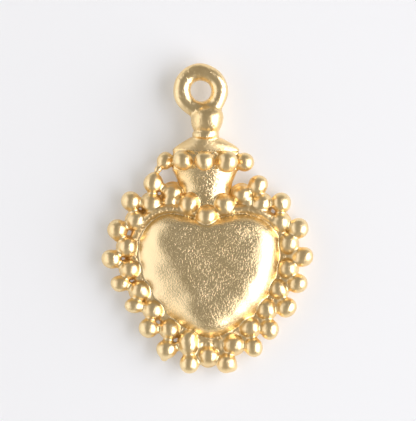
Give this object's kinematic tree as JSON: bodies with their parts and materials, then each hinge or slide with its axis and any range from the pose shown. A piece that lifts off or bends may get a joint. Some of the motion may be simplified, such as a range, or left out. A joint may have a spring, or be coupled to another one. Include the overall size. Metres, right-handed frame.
{
  "type": "heart charm",
  "caption": "Flat-backed gold-coloured charm: a puffed heart in a double halo of beads, under a flared neck with a beaded crown, a ball and a hanging ring.",
  "frame": {"origin": "on the flat back face, under the middle of the puffed heart", "axes": "+Y up the charm from the heart's tip to the hanging ring, +Z out of the face, +X to the viewer's right"},
  "size_m": [0.017, 0.0249, 0.0037],
  "materials": {
    "satin_gold": "satin gold plate with a fine crinkled skin",
    "bead_gold": "satin gold plate, softly polished",
    "cast_gold": "satin gold plate on a soft cast form",
    "back_gold": "matt gold plate"
  },
  "bodies": {
    "root": {"back_plate": "back_gold", "heart_dome": "satin_gold", "neck": "satin_gold", "lid": "satin_gold", "collar": "cast_gold", "ball": "cast_gold", "hanging_ring": "cast_gold", "crown_bead_1": "bead_gold", "crown_bead_2": "bead_gold", "crown_bead_3": "bead_gold", "crown_bead_4": "bead_gold", "crown_bead_5": "bead_gold", "cleft_bead_1": "bead_gold", "cleft_bead_2": "bead_gold", "cleft_bead_3": "bead_gold", "inner_bead_01": "bead_gold", "inner_bead_02": "bead_gold", "inner_bead_03": "bead_gold", "inner_bead_04": "bead_gold", "inner_bead_05": "bead_gold", "inner_bead_06": "bead_gold", "inner_bead_07": "bead_gold", "inner_bead_08": "bead_gold", "inner_bead_09": "bead_gold", "inner_bead_10": "bead_gold", "inner_bead_11": "bead_gold", "inner_bead_12": "bead_gold", "inner_bead_13": "bead_gold", "inner_bead_14": "bead_gold", "inner_bead_15": "bead_gold", "inner_bead_16": "bead_gold", "inner_bead_17": "bead_gold", "inner_bead_18": "bead_gold", "inner_bead_19": "bead_gold", "outer_bead_01": "bead_gold", "outer_bead_02": "bead_gold", "outer_bead_03": "bead_gold", "outer_bead_04": "bead_gold", "outer_bead_05": "bead_gold", "outer_bead_06": "bead_gold", "outer_bead_07": "bead_gold", "outer_bead_08": "bead_gold", "outer_bead_09": "bead_gold", "outer_bead_10": "bead_gold", "outer_bead_11": "bead_gold", "outer_bead_12": "bead_gold", "outer_bead_13": "bead_gold", "outer_bead_14": "bead_gold", "outer_bead_15": "bead_gold", "outer_bead_16": "bead_gold", "outer_bead_17": "bead_gold", "outer_bead_18": "bead_gold"}
  },
  "joints": []
}
